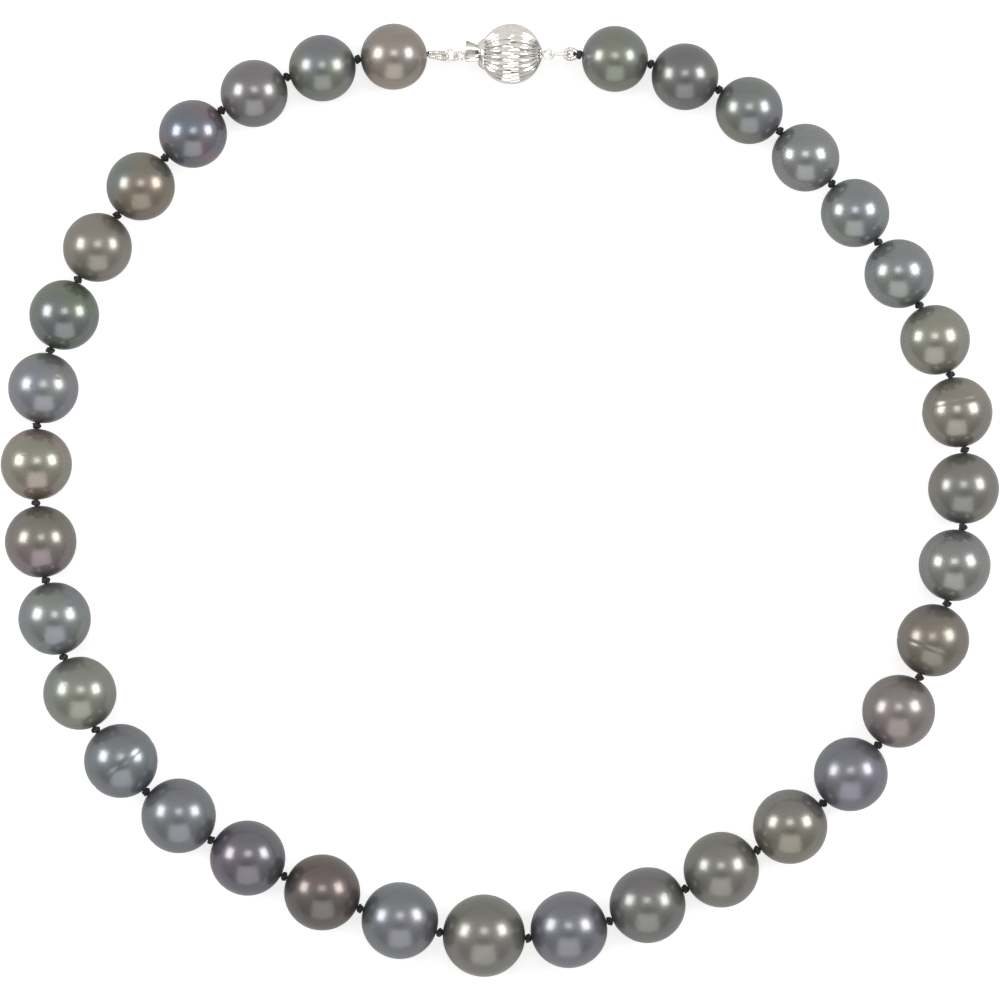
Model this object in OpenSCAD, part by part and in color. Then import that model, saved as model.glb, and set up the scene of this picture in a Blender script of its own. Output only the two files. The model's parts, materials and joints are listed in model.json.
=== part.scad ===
// Graduated pearl necklace with a fluted ball clasp, lying closed in a loose oval.
// Frame: +X to the right, +Y towards the clasp, +Z up, and the origin under the middle of the oval on the table.

/* [Pearls] */
// Number of pearls, odd so that one of them is the centre pearl
pearl_count = 35; // [31:2:41]
// Diameter of the end pearls, next to the clasp
end_pearl_d = 10.7; // [8.5:0.1:13]
// Diameter of the pearls on either side of the centre pearl
near_pearl_d = 12.4; // [10:0.1:15]
// Diameter of the centre pearl
centre_pearl_d = 13.3; // [11:0.1:16]
// Graduation: 1 is a straight taper, and more keeps the end pearls alike
taper_power = 1.15; // [0.6:0.05:2]
// Diameter of the hole drilled through each pearl
drill_d = 1; // [0.9:0.05:1.3]

/* [Silk] */
// Length of silk between two pearls, which a knot fills
knot_gap = 0.95; // [0.75:0.05:1.6]
// Diameter of the silk inside the pearls
silk_d = 0.5; // [0.3:0.05:0.6]
// Width of a knot across the silk
knot_d = 1.36; // [1.1:0.02:1.7]
// Clear space between a knot and the pearl beside it
knot_play = 0.09; // [0.05:0.01:0.15]
// Diameter of the single silk strand inside a wire loop
strand_d = 0.3; // [0.2:0.02:0.32]

/* [Wire loops] */
// Outside diameter of the coiled wire that covers the silk
gimp_d = 0.7; // [0.6:0.02:0.8]
// Hole along the inside of the coiled wire
gimp_bore = 0.4; // [0.38:0.01:0.45]
// Radius of the left loop's round end, to the middle of its wire
left_loop_r = 0.74; // [0.7:0.02:1.1]
// Length of the left loop, from its silk end to the centre of its round end
left_loop_len = 2.5; // [2:0.1:4]
// Radius of the right loop's round end, to the middle of its wire
right_loop_r = 0.82; // [0.7:0.02:0.9]
// Length of the right loop, from its knot to the centre of its round end
right_loop_len = 1.4; // [1.4:0.05:3]

/* [Rings] */
// Wire diameter of the jump ring
jump_wire = 0.4; // [0.3:0.02:0.5]
// Radius of the jump ring, to the middle of its wire
jump_r = 1.15; // [1:0.05:1.6]
// Wire diameter of the tongue's eye and of the ball's end ring
eye_wire = 0.38; // [0.3:0.02:0.46]
// Radius of the tongue's eye, to the middle of its wire
eye_r = 0.88; // [0.8:0.02:1.2]
// Radius of the ball's end ring, to the middle of its wire
end_ring_r = 0.76; // [0.74:0.02:1.2]
// Wire diameter of the link between the ball and the right loop
link_wire = 0.4; // [0.3:0.02:0.5]
// Distance between the link's two round ends, wire middle to wire middle
link_len = 3; // [2.8:0.1:5]
// Radius of the link's round ends, to the middle of its wire
link_r = 0.9; // [0.8:0.05:1.2]
// Play where one ring hangs in another
ring_play = 0.06; // [0.05:0.01:0.15]
// Play where the jump ring hangs in the left loop
loop_play = 0.14; // [0.12:0.01:0.25]

/* [Clasp ball] */
// Diameter of the fluted ball, over its ribs
ball_d = 9.8; // [8.5:0.1:12]
// Number of ribs around the ball
rib_count = 24; // [18:1:30]
// Depth of the flutes at the seam
flute_depth = 0.26; // [0.15:0.01:0.35]
// Extra depth of the flutes where they reach the end plates
flute_end_depth = 0.22; // [0.1:0.01:0.3]
// Thickness of the ball's wall under the flutes
ball_wall = 0.32; // [0.25:0.01:0.5]
// Radius of the opening at the slot end
slot_seat_r = 2.44; // [2.3:0.02:2.7]
// Radius of the opening at the ring end
cap_seat_r = 1.63; // [1.4:0.02:1.9]
// How far the clasp is turned about its own length, as it lies
clasp_roll = 45; // [0:15:90]

/* [Clasp tongue] */
// Width of the tongue
tongue_w = 2.4; // [2:0.05:2.5]
// Thickness of the tongue's plate and of its spring leaf
leaf_t = 0.3; // [0.2:0.02:0.34]
// Height of the plate's middle below the clasp's centre line
plate_drop = 0.4; // [0.36:0.02:0.44]
// Space between the plate and the leaf at the fold
fold_gap = 0.3; // [0.24:0.02:0.4]
// Length of the tongue that stays outside the ball
tongue_out = 2.07; // [1.8:0.1:3]
// How far the tongue reaches past the middle of the ball
tongue_in = 1.6; // [1:0.1:2.4]
// Clear space around the tongue in the slot
slot_play = 0.1; // [0.06:0.01:0.14]
// Height of the catch above the leaf
catch_h = 0.55; // [0.45:0.05:0.7]
// Width of the thumb tab at its free end
tab_w = 2.1; // [1.6:0.1:2.6]
// Width of the thumb tab at the slot
tab_root_w = 1.1; // [0.8:0.1:1.4]
// Length of the thumb tab's ribbed pad
tab_len = 1.95; // [1.6:0.05:2.4]
// Number of grip ribs on the thumb tab
tab_ribs = 6; // [4:1:7]

/* [Lay on the table] */
// Where on the oval the knot before the centre pearl lies, counter-clockwise from the top
centre_knot_at = 183.9; // [180:0.1:188]

/* [Hidden] */
centre = (pearl_count + 1) / 2;
turn_fn = 96;
wire_fn = 32;

// The oval as it was laid by hand: [waves around, cosine share, sine share], in thousandths of its mean radius
oval_waves = [[2, -24, -5], [3, -6, 3], [4, -4, -3], [5, 1, -11], [7, -2, -9]];

// Space that a wire loop leaves around a knot and a pearl
silk_clear = 0.05;
// Gap between the two sides of a wire loop where they start
leg_gap = 0.04;

// Facets of the silk and the wire loops: sides around them, steps around a wire loop, and the profile of half a knot
// as [share of its half length, share of the way from the silk's radius to the knot's]
silk_sides = 8;
gimp_sides = 14;
loop_steps = 12;
knot_profile = [[0, 1], [0.6, 0.76], [1, 0]];

// End plates of the ball: the slot plate's dome, wall and flat face, the cap's dome and the post of its ring
slot_dome_h = 0.98;
slot_plate_t = 0.4;
slot_rim_r = 1.78;
// Slot plate: width of its land on the ball, overhang of its lip, height of its edge and its bevel
plate_land = 0.51;
plate_lip = 0.06;
plate_edge_h = 0.3;
plate_bevel = 0.2;
cap_dome_h = 0.5;
cap_post_len = 0.24;
cap_post_d = 0.7;
// Width of the land that each end plate sits on
seat_land = 0.85;
// Gap between the catch and the slot plate that holds it
catch_gap = 0.06;

// Thumb tab: thickness, slope, ridge diameter, gap to the ball, and the foot that stands on the leaf
tab_t = 0.28;
tab_rise = 16;
tab_rib_d = 0.24;
tab_gap = 0.12;
foot_h = 0.95;
foot_len = 0.4;
leaf_out = 0.55;

// Facets of the ball's skin, across each rib and from the seam to an end plate
rib_steps = 4;
ring_steps = 7;
hollow_steps = 3;

function pearl_name(i) = str("pearl_", i < 10 ? "0" : "", i);

PEARLS = [for (i = [1 : pearl_count]) pearl_name(i)];

// ---- The clasp, measured along its own centre line from the middle of the ball ----

ball_r = ball_d / 2;
slot_seat_x = -sqrt(pow(ball_r, 2) - pow(slot_seat_r, 2));
cap_seat_x = sqrt(pow(ball_r, 2) - pow(cap_seat_r, 2));
slot_face_x = slot_seat_x - slot_dome_h;
cap_tip_x = cap_seat_x + cap_dome_h + cap_post_len;

// Heights across the tongue, up from the clasp's centre line
plate_z = -plate_drop;
plate_top = plate_z + leaf_t / 2;
leaf_low = plate_top + fold_gap;
leaf_top = leaf_low + leaf_t;
slot_w = tongue_w + 2 * slot_play;
slot_low = plate_z - leaf_t / 2 - slot_play;
slot_top = leaf_top + slot_play;

// Left side: tongue, eye, jump ring, wire loop, first pearl
tongue_end_x = slot_face_x - tongue_out;
eye_x = tongue_end_x - eye_r;
jump_right_x = eye_x - eye_r + (eye_wire + jump_wire) / 2 + ring_play;
jump_x = jump_right_x - jump_r;
left_loop_end_x = jump_x - jump_r + (jump_wire + gimp_d) / 2 + loop_play;
left_loop_x = left_loop_end_x - left_loop_r;

// Right side: end ring, link, wire loop, last knot
end_ring_x = cap_tip_x + end_ring_r - eye_wire * 0.2;
link_left_x = end_ring_x + end_ring_r - (eye_wire + link_wire) / 2 - ring_play;
link_right_x = link_left_x + link_len;
right_loop_end_x = link_right_x - (link_wire + gimp_d) / 2 - ring_play;
right_loop_x = right_loop_end_x + right_loop_r;

// Reach of the clasp from the middle of the ball to the two end knots
left_reach = -left_loop_x + left_loop_len - knot_gap / 2;
right_reach = right_loop_x + right_loop_len;

// ---- The strand: knots are the corners of a chain, and a pearl hangs in the middle of each side ----

// Graduated from the centre pearl down to both ends
function pearl_d(i) = i == centre ? centre_pearl_d
    : end_pearl_d + (near_pearl_d - end_pearl_d)
        * pow(1 - (abs(i - centre) - 1) / (centre - 2), taper_power);

// Length of silk from the knot before a pearl to the knot after it
function pitch(i) = pearl_d(i) + knot_gap;

// The oval at an angle counter-clockwise from the clasp
function oval(a, k = 0) = k == len(oval_waves) ? 1
    : oval(a, k + 1) + (oval_waves[k][1] * cos(oval_waves[k][0] * a)
        + oval_waves[k][2] * sin(oval_waves[k][0] * a)) / 1000;
function spot(a, mean) = mean * oval(a) * [-sin(a), cos(a)];

// The next angle on the oval at a given straight distance, found by correcting a first guess
function step(a, chord, mean, turn, n = 5) = n == 0 ? a + turn
    : step(a, chord, mean, turn * chord / norm(spot(a + turn, mean) - spot(a, mean)), n - 1);
function turn_for(chord, mean) = chord / mean * 180 / PI;

// Angles of the knots from the centre back to the first, and from the centre on to the last
function knots_back(j, a, mean) = j == 0 ? [a]
    : concat(knots_back(j - 1, step(a, pitch(j), mean, -turn_for(pitch(j), mean)), mean), [a]);
function knots_on(j, a, mean) = j == pearl_count ? [a]
    : concat([a], knots_on(j + 1, step(a, pitch(j + 1), mean, turn_for(pitch(j + 1), mean)), mean));
function knots_flat(mean) = let (
        back = knots_back(centre - 1, centre_knot_at, mean),
        on = knots_on(centre - 1, centre_knot_at, mean)
    ) [for (j = [0 : pearl_count]) spot(j < centre ? back[j] : on[j - centre + 1], mean)];

// Mean radius at which the clasp just closes the oval: a wider oval leaves a wider space for the clasp
clasp_span = left_reach + right_reach;
function closing_radius(mean, n) = n == 0 ? mean
    : let (k = knots_flat(mean))
        closing_radius(mean + (clasp_span - norm(k[pearl_count] - k[0])) / (2 * PI), n - 1);
strand_length = clasp_span + pearl_count * knot_gap
    + pearl_d(centre) + 2 * (near_pearl_d + end_pearl_d) / 2 * (centre - 1);
mean_radius = closing_radius(strand_length / (2 * PI), 8);

// Turned so that the clasp lies along X
lay = knots_flat(mean_radius);
closing = lay[pearl_count] - lay[0];
lay_turn = atan2(closing[1], closing[0]);
turned = [for (p = lay) [p[0] * cos(lay_turn) + p[1] * sin(lay_turn), p[1] * cos(lay_turn) - p[0] * sin(lay_turn)]];
mids = [for (i = [1 : pearl_count]) (turned[i - 1] + turned[i]) / 2];

// Moved so that the origin is under the middle of the whole necklace
reach_r = [for (i = [1 : pearl_count]) pearl_d(i) / 2];
xs_low = [for (i = [0 : pearl_count - 1]) mids[i][0] - reach_r[i]];
xs_high = [for (i = [0 : pearl_count - 1]) mids[i][0] + reach_r[i]];
ys_low = [for (i = [0 : pearl_count - 1]) mids[i][1] - reach_r[i]];
ys_high = concat([turned[0][1] + ball_r], [for (i = [0 : pearl_count - 1]) mids[i][1] + reach_r[i]]);
shift = -[min(xs_low) + max(xs_high), min(ys_low) + max(ys_high)] / 2;

// Height of the silk at a knot, nearer to the bigger of its two pearls, which all rest on the table
clasp_z = ball_r;
function knot_z(j) = j == 0 || j == pearl_count ? (end_pearl_d / 2 + 2 * clasp_z) / 3
    : (min(pearl_d(j), pearl_d(j + 1)) + 2 * max(pearl_d(j), pearl_d(j + 1))) / 6;
knot_at = [for (j = [0 : pearl_count]) [turned[j][0] + shift[0], turned[j][1] + shift[1], knot_z(j)]];
function pearl_at(i) = [mids[i - 1][0] + shift[0], mids[i - 1][1] + shift[1], pearl_d(i) / 2];
clasp_at = [knot_at[0][0] + left_reach, knot_at[0][1], clasp_z];

// A point of the rolled clasp in the necklace's frame, z up across the tongue
function from_clasp(x, z) = clasp_at + [x, z * sin(clasp_roll), z * cos(clasp_roll)];

// Where the silk leaves the first pearl, and the centres of the two loops' round ends
mouth_at = knot_at[0] + (pearl_at(1) - knot_at[0]) * (knot_gap / pitch(1));
left_loop_at = from_clasp(left_loop_x, plate_z);
right_loop_at = clasp_at + [right_loop_x, 0, 0];

// ---- Placing ----

// A point given along the line from one place to another, rolled about that line
function along(from, to, roll, p) = let (
        v = to - from,
        lift = asin(v[2] / norm(v)),
        yaw = atan2(v[1], v[0]),
        y = p[1] * cos(roll) + p[2] * sin(roll),
        z = p[2] * cos(roll) - p[1] * sin(roll),
        x = p[0] * cos(lift) - z * sin(lift)
    ) from + [
        x * cos(yaw) - y * sin(yaw),
        x * sin(yaw) + y * cos(yaw),
        p[0] * sin(lift) + z * cos(lift)
    ];

// Local X runs from one point to another, rolled about that line
module towards(from, to, roll = 0) {
    v = to - from;
    translate(from)
        rotate([0, -asin(v[2] / norm(v)), atan2(v[1], v[0])])
            rotate([-roll, 0, 0])
                children();
}

// The clasp's own frame: X along it, Y across the tongue, Z out of the tongue's face
module in_clasp(roll = clasp_roll) {
    translate(clasp_at) rotate([-roll, 0, 0]) children();
}

// A closed ring of round wire in the XY plane
module wire_ring(r, wire) {
    rotate_extrude($fn = turn_fn)
        translate([r, 0])
            circle(d = wire, $fn = wire_fn);
}

// A straight round bar along +X
module bar(length, d) {
    rotate([0, 90, 0]) cylinder(h = length, d = d, $fn = wire_fn);
}

// The middle line of a wire loop: two straight sides that start at [start, +foot] and [start, -foot], or
// extra before them, and run on into a round end of radius r about [len, 0]
function loop_line(start, foot, len, r, extra = 0) = let (
        lean = asin(r / norm([len - start, foot])) - atan2(foot, len - start),
        x = start - extra * cos(lean),
        y = foot - extra * sin(lean)
    ) concat(
        [[x, y, 0]],
        [for (k = [0 : loop_steps]) let (a = (90 + lean) * (1 - 2 * k / loop_steps))
            [len + r * cos(a), r * sin(a), 0]],
        [[x, -y, 0]]
    );

// A round tube through a list of [point, radius], never straight up, with flat ends
module tube(line, sides) {
    last = len(line) - 1;
    points = [for (k = [0 : last]) let (
            ahead = line[min(k + 1, last)][0] - line[max(k - 1, 0)][0],
            side = cross([0, 0, 1], ahead) / norm(cross([0, 0, 1], ahead)),
            up = cross(ahead, side) / norm(ahead)
        ) for (m = [0 : sides - 1]) let (a = 360 * m / sides)
            line[k][0] + line[k][1] * (cos(a) * side + sin(a) * up)];
    skin = [for (k = [0 : last - 1]) for (m = [0 : sides - 1]) let (n = (m + 1) % sides)
        each [
            [k * sides + m, (k + 1) * sides + m, (k + 1) * sides + n],
            [k * sides + m, (k + 1) * sides + n, k * sides + n]
        ]];
    polyhedron(points = points, faces = concat(
        skin,
        [[for (m = [0 : sides - 1]) m]],
        [[for (m = [0 : sides - 1]) last * sides + sides - 1 - m]]
    ));
}

// ---- Pearls ----

// A pearl is turned about its own bore, which runs in line with the silk
module pearl(i) {
    axis = knot_at[i] - knot_at[i - 1];
    r = pearl_d(i) / 2;
    color("dimgray")
        towards(pearl_at(i), pearl_at(i) + axis)
            rotate([0, 90, 0])
                rotate_extrude($fn = turn_fn)
                    intersection() {
                        circle(r, $fn = turn_fn);
                        translate([drill_d / 2, -r]) square([r, 2 * r]);
                    }
}

// ---- Silk ----

// Half the length of a knot along the silk
knot_half = knot_gap / 2 - knot_play;
foot = (gimp_d + leg_gap) / 2;
// Where the loops' sides start: clear of the first pearl's round face, and past the last knot
left_start = 0.25;
right_start = knot_half + 2 * silk_clear;

// The line of one knot, lying across the corner where two pearls meet
function knot_line(j) = let (
        v = j == pearl_count ? knot_at[j] - knot_at[j - 1] : knot_at[j + 1] - knot_at[j - 1],
        ahead = v / norm(v),
        steps = len(knot_profile) - 1
    ) [for (k = [-steps : steps]) let (q = knot_profile[abs(k)])
        [knot_at[j] + sign(k) * q[0] * knot_half * ahead, silk_d / 2 + q[1] * (knot_d - silk_d) / 2]];

// A loop's line for the thinner strand, turned into place
function strand_line(from, to, roll, line) = [for (p = line) [along(from, to, roll, p), strand_d / 2]];

module silk_thread() {
    left = loop_line(left_start, foot, left_loop_span, left_loop_r);
    right = loop_line(right_start, foot, right_loop_span, right_loop_r);
    color([0.05, 0.05, 0.06])
        tube(concat(
            strand_line(mouth_at, left_loop_at, clasp_roll, left),
            [[mouth_at + (pearl_at(1) - mouth_at) * 0.2, silk_d / 2]],
            [for (j = [1 : pearl_count]) each knot_line(j)],
            strand_line(knot_at[pearl_count], right_loop_at, 0, right)
        ), silk_sides);
}

// ---- Wire loops over the silk ----

left_loop_span = norm(left_loop_at - mouth_at);
right_loop_span = norm(right_loop_at - knot_at[pearl_count]);

// Coiled wire as a hollow tube along a loop
module gimp(start, len, r) {
    difference() {
        tube([for (p = loop_line(start, foot, len, r)) [p, gimp_d / 2]], gimp_sides);
        tube([for (p = loop_line(start, foot, len, r, silk_clear)) [p, gimp_bore / 2]], gimp_sides);
    }
}

module gimp_loop_left() {
    color("silver")
        towards(mouth_at, left_loop_at, clasp_roll)
            gimp(left_start, left_loop_span, left_loop_r);
}

module gimp_loop_right() {
    color("silver")
        towards(knot_at[pearl_count], right_loop_at)
            gimp(right_start, right_loop_span, right_loop_r);
}

// ---- Rings ----

module jump_ring() {
    color("silver")
        in_clasp()
            translate([jump_x, 0, plate_z])
                rotate([90, 0, 0])
                    wire_ring(jump_r, jump_wire);
}

// Closed against the end of the tongue's plate, where it is soldered
module tongue_eye() {
    color("silver")
        in_clasp()
            difference() {
                translate([eye_x, 0, plate_z]) wire_ring(eye_r, eye_wire);
                translate([tongue_end_x, -eye_r, plate_z - eye_wire])
                    cube([2 * eye_wire, 2 * eye_r, 2 * eye_wire]);
            }
}

module end_ring() {
    color("silver")
        in_clasp(0)
            difference() {
                translate([end_ring_x, 0, 0]) wire_ring(end_ring_r, eye_wire);
                bar(cap_tip_x, 2 * eye_wire);
            }
}

module link_ring() {
    color("silver")
        in_clasp(0)
            rotate([90, 0, 0])
                for (side = [0, 1])
                    translate([side ? link_right_x - link_r : link_left_x + link_r, 0, 0]) {
                        rotate([0, 0, side ? -90 : 90])
                            rotate_extrude(angle = 180, $fn = turn_fn)
                                translate([link_r, 0])
                                    circle(d = link_wire, $fn = wire_fn);
                        translate([0, side ? link_r : -link_r, 0])
                            rotate([0, 0, side ? 180 : 0])
                                bar(link_len - 2 * link_r, link_wire);
                    }
}

// ---- Tongue ----

fold_z = (plate_top + leaf_low) / 2;
fold_in = fold_gap / 2;
fold_out = fold_in + leaf_t;

module tongue_plate() {
    color("lightgray")
        in_clasp()
            translate([tongue_end_x, -tongue_w / 2, plate_z - leaf_t / 2])
                cube([tongue_in - tongue_end_x, tongue_w, leaf_t]);
}

// Spring leaf: folded back over the plate, with a catch behind the slot and an end outside it
catch_face_x = slot_face_x + slot_plate_t + catch_gap;
leaf_end_x = slot_face_x - leaf_out;
leaf_w = tongue_w - 0.5;

module tongue_leaf() {
    color("lightgray")
        in_clasp()
            rotate([90, 0, 0])
                translate([0, 0, -leaf_w / 2])
                    linear_extrude(leaf_w) {
                        translate([tongue_in, fold_z])
                            intersection() {
                                difference() {
                                    circle(fold_out, $fn = wire_fn);
                                    circle(fold_in, $fn = wire_fn);
                                }
                                translate([0, -fold_out]) square([fold_out, 2 * fold_out]);
                            }
                        polygon([
                            [tongue_in, leaf_low],
                            [tongue_in, leaf_top],
                            [catch_face_x + 2 * catch_h, leaf_top],
                            [catch_face_x + 0.1, leaf_top + catch_h],
                            [catch_face_x, leaf_top + catch_h],
                            [catch_face_x, leaf_top],
                            [leaf_end_x, leaf_top],
                            [leaf_end_x, leaf_low]
                        ]);
                    }
}

// Thumb tab: a foot on the leaf's end and a ribbed pad that fans out and rises away from the ball

module thumb_tab() {
    foot_x = slot_face_x - tab_gap - foot_len;
    color("lightgray")
        in_clasp() {
            translate([foot_x, -tab_root_w / 2 + 0.1, leaf_top])
                cube([foot_len, tab_root_w - 0.2, foot_h]);
            translate([foot_x + foot_len, 0, leaf_top + foot_h - tab_t / 2])
                rotate([0, tab_rise, 0]) {
                    linear_extrude(tab_t)
                        polygon([
                            [0, -tab_root_w / 2], [0, tab_root_w / 2],
                            [-tab_len, tab_w / 2], [-tab_len, -tab_w / 2]
                        ]);
                    for (k = [1 : tab_ribs]) {
                        x = -tab_len * (k - 0.35) / tab_ribs;
                        w = tab_root_w - (tab_w - tab_root_w) * x / tab_len - 0.16;
                        translate([x, w / 2, tab_t])
                            rotate([90, 0, 0])
                                cylinder(h = w, d = tab_rib_d, $fn = wire_fn);
                    }
                }
        }
}

// ---- Ball ----

// Half-width of the fluted skin in the direction a about the ball's axis, at a place x along it
function skin(x, a) = let (
        r = sqrt(ball_r * ball_r - x * x),
        depth = flute_depth + flute_end_depth * pow(abs(x) / ball_r, 2)
    ) r - depth * (1 - abs(cos(rib_count * a / 2)));

// The hollow of a half: round from the seam to a hole under the end plate, as [share along, radius]
hollow_r = ball_r - flute_depth - flute_end_depth - ball_wall;
function hollow_line(seat, bore_r) = let (edge = asin(bore_r / hollow_r)) concat(
    [[seat, bore_r]],
    [for (k = [hollow_steps : -1 : 0]) let (a = edge + (90 - edge) * (1 - k / hollow_steps))
        hollow_r * [cos(a), sin(a)]]
);

// A half shell: rings run out over the fluted skin to the end plate, and back through the hollow to the seam
module ball_half(seat_x, seat_r) {
    around = rib_count * rib_steps;
    dir = sign(seat_x);
    seat = abs(seat_x);
    edge = acos(seat / ball_r);
    outside = [for (k = [0 : ring_steps]) ball_r * cos(90 - (90 - edge) * k / ring_steps)];
    inside = hollow_line(seat, seat_r - seat_land);
    rings = concat(
        [for (x = outside) [for (m = [0 : around - 1]) let (a = 360 * m / around)
            [dir * x, skin(x, a) * cos(a), dir * skin(x, a) * sin(a)]]],
        [for (q = inside) [for (m = [0 : around - 1]) let (a = 360 * m / around)
            [dir * q[0], q[1] * cos(a), dir * q[1] * sin(a)]]]
    );
    count = len(rings);
    faces = [for (k = [0 : count - 1]) for (m = [0 : around - 1])
        let (n = (m + 1) % around, next = (k + 1) % count)
            each [
                [k * around + m, next * around + n, next * around + m],
                [k * around + m, k * around + n, next * around + n]
            ]];
    color("gainsboro")
        in_clasp()
            polyhedron(points = [for (ring = rings) each ring], faces = faces);
}

module ball_half_left() {
    ball_half(slot_seat_x, slot_seat_r);
}

module ball_half_right() {
    ball_half(cap_seat_x, cap_seat_r);
}

// Domed plate that closes the slot end and holds the catch
module slot_plate() {
    back_x = slot_dome_h - slot_plate_t - slot_seat_x;
    color("lightgray")
        in_clasp()
            difference() {
                rotate([0, -90, 0])
                    rotate_extrude($fn = turn_fn)
                        polygon([
                            [0, back_x],
                            [slot_rim_r - plate_bevel, back_x],
                            [slot_seat_r - plate_land, -slot_seat_x],
                            [slot_seat_r + plate_lip, -slot_seat_x],
                            [slot_seat_r, plate_edge_h - slot_seat_x],
                            [slot_rim_r + plate_bevel / 2, slot_dome_h - plate_bevel / 2 - slot_seat_x],
                            [slot_rim_r, slot_dome_h - slot_seat_x],
                            [0, slot_dome_h - slot_seat_x]
                        ]);
                translate([slot_face_x - 1, -slot_w / 2, slot_low])
                    cube([2, slot_w, slot_top - slot_low]);
            }
}

// Domed cap that closes the ring end, with the post that carries the ring
module end_cap() {
    dome_r = (cap_seat_r * cap_seat_r + cap_dome_h * cap_dome_h) / (2 * cap_dome_h);
    color("lightgray")
        in_clasp()
            rotate([0, 90, 0]) {
                translate([0, 0, cap_seat_x])
                    rotate_extrude($fn = turn_fn)
                        intersection() {
                            translate([0, cap_dome_h - dome_r]) circle(dome_r, $fn = 2 * turn_fn);
                            square([cap_seat_r, cap_dome_h]);
                        }
                translate([0, 0, cap_seat_x])
                    cylinder(h = cap_dome_h + cap_post_len, d = cap_post_d, $fn = wire_fn);
            }
}

// ---- Drawing ----

for (i = [1 : pearl_count])
    pearl(i);
silk_thread();
gimp_loop_left();
gimp_loop_right();
jump_ring();
tongue_eye();
tongue_plate();
tongue_leaf();
thumb_tab();
slot_plate();
ball_half_left();
ball_half_right();
end_cap();
end_ring();
link_ring();
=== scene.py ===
# %% [markdown]
# # A graduated pearl necklace, dressed piece by piece
# The strand lies closed on a pale table: 35 dark pearls that grow towards the middle, a silk knot
# between each pair, two loops of coiled wire, and a fluted ball clasp with a spring tongue.
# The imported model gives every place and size. This lesson only adds what the eye wants: nacre, twisted
# silk, wound wire and polished metal. First we open the frame and keep its box.

import json
import math
import random

import bmesh
import bpy
import numpy as np
from mathutils import Matrix, Vector


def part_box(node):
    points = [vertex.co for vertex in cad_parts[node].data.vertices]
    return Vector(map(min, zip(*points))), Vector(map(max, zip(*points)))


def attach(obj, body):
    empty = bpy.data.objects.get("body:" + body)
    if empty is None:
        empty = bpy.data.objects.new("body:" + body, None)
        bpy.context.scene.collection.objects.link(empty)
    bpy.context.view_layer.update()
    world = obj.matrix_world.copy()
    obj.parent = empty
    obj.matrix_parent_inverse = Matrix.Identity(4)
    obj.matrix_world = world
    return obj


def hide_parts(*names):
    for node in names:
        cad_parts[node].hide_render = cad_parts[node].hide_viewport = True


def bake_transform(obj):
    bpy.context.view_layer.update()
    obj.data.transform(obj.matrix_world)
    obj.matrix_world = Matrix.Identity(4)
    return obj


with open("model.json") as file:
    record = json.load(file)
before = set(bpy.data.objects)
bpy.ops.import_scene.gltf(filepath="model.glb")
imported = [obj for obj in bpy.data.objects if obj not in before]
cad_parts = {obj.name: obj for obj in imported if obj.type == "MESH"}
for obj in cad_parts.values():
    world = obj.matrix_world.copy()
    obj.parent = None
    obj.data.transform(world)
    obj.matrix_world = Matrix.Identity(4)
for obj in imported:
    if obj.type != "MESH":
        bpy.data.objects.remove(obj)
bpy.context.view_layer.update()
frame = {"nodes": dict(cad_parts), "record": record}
MM = 0.001

# %% [markdown]
# ## Where everything hangs together
# Each knot is a joint of the frame, so its place and the two bodies that it joins are in the record.
# A pearl's box gives its middle and its radius, because a ball is as high as it is wide.

# %% Read the strand's own places
behaviour = frame["record"]["behaviour"]
body_with = {node: body for body, members in behaviour["bodies"].items() for node in members}
pearl_names = sorted(n for n in frame["nodes"] if n.startswith("pearl_"))
knot_joints = {j["name"]: j for j in behaviour["joints"] if j["name"].startswith("knot_")}


def middle(node):
    low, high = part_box(node)
    return (low + high) / 2


def pearl_radius(node):
    low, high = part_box(node)
    return (high - low).z / 2


pearl_spots = [(middle(n), pearl_radius(n)) for n in pearl_names]
knot_spots = {name: Vector(j["pos_m"]) for name, j in knot_joints.items()}
print(len(pearl_spots), "pearls and", len(knot_spots), "knots between them")

# %% [markdown]
# A pearl is drilled right through, and its bore points from the knot before it to the knot after it.
# The two end pearls have a joint on one side only, so their bore is taken from that knot to their middle.

# %% Find each pearl's bore
def bore_of(index):
    before = knot_spots.get(f"knot_{index - 1:02d}")
    after = knot_spots.get(f"knot_{index:02d}")
    spot = pearl_spots[index - 1][0]
    return ((after or spot) - (before or spot)).normalized()


half_gap = (knot_spots["knot_01"] - pearl_spots[0][0]).length - pearl_spots[0][1]
print("room for a knot:", round(2 * half_gap / MM, 2), "mm")

# %% [markdown]
# ## Small helpers for node trees
# Geometry Nodes and shader groups are both made of nodes and links. These helpers add a node, feed its
# inputs with either a value or another node's output, and give back the output that is needed next.

# %% Add nodes and feed them
def add(tree, kind, feeds=None, out=0, **settings):
    node = tree.nodes.new(kind)
    for name, value in settings.items():
        setattr(node, name, value)
    for socket, value in (feeds or {}).items():
        if isinstance(value, bpy.types.NodeSocket):
            tree.links.new(value, node.inputs[socket])
        else:
            node.inputs[socket].default_value = value
    return node.outputs[out]


def calc(tree, operation, *values):
    return add(tree, "ShaderNodeMath", dict(enumerate(values)), operation=operation)


def vector_calc(tree, operation, *values):
    return add(tree, "ShaderNodeVectorMath", dict(enumerate(values)), operation=operation)


def scaled(tree, vector, factor):
    return add(tree, "ShaderNodeVectorMath", {0: vector, "Scale": factor}, operation="SCALE")


def split(tree, vector):
    """The x, y and z of a vector, as three outputs."""
    node = tree.nodes.new("ShaderNodeSeparateXYZ")
    tree.links.new(vector, node.inputs[0])
    return node.outputs


def bell(tree, distance, width):
    """A soft hump: one where distance is nought, and almost nothing two widths away."""
    share = calc(tree, "DIVIDE", distance, width)
    return calc(tree, "EXPONENT", calc(tree, "MULTIPLY", calc(tree, "MULTIPLY", share, share), -1.0))


print("helpers ready")

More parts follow.
